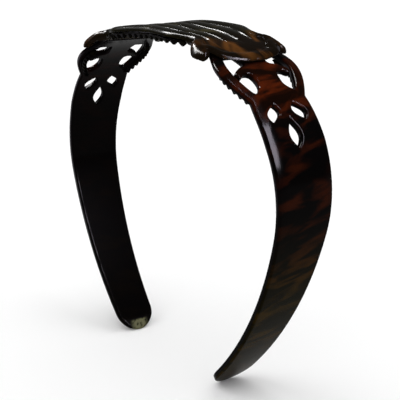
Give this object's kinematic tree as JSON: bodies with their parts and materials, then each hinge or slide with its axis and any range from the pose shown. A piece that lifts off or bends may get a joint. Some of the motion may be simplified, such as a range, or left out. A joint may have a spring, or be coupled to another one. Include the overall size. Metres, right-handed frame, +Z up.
{
  "type": "headband",
  "caption": "Stiff tortoiseshell headband with a fluted crest, openwork heart ends on its sprung arms and short comb teeth inside.",
  "frame": {"origin": "middle of the crest's underside at the crown, where the band sits on the head", "axes": "+Z up out of the crown, +X towards right_arm, named as seen from the front, +Y to the rear"},
  "size_m": [0.1354, 0.0368, 0.1259],
  "materials": {
    "crest": "polished tortoiseshell plastic with amber patches",
    "arm": "polished dark tortoiseshell plastic with red-brown streaks",
    "comb": "moulded dark plastic"
  },
  "bodies": {
    "crest": {"crest": "crest", "crest_front_comb": "comb", "crest_rear_comb": "comb"},
    "left_arm": {"left_arm": "arm", "left_front_comb": "comb", "left_rear_comb": "comb"},
    "right_arm": {"right_arm": "arm", "right_front_comb": "comb", "right_rear_comb": "comb"}
  },
  "joints": [
    {"name": "left_flex", "type": "hinge", "parent": "crest", "child": "left_arm", "pos_m": [-0.04327, 0, -0.0072], "axis": [0, 1, 0], "range_deg": [-0.8, 12], "stiffness_Nm_per_rad": 1.2},
    {"name": "right_flex", "type": "hinge", "parent": "crest", "child": "right_arm", "pos_m": [0.04327, 0, -0.0072], "axis": [0, -1, 0], "range_deg": [-0.8, 12], "stiffness_Nm_per_rad": 1.2}
  ]
}
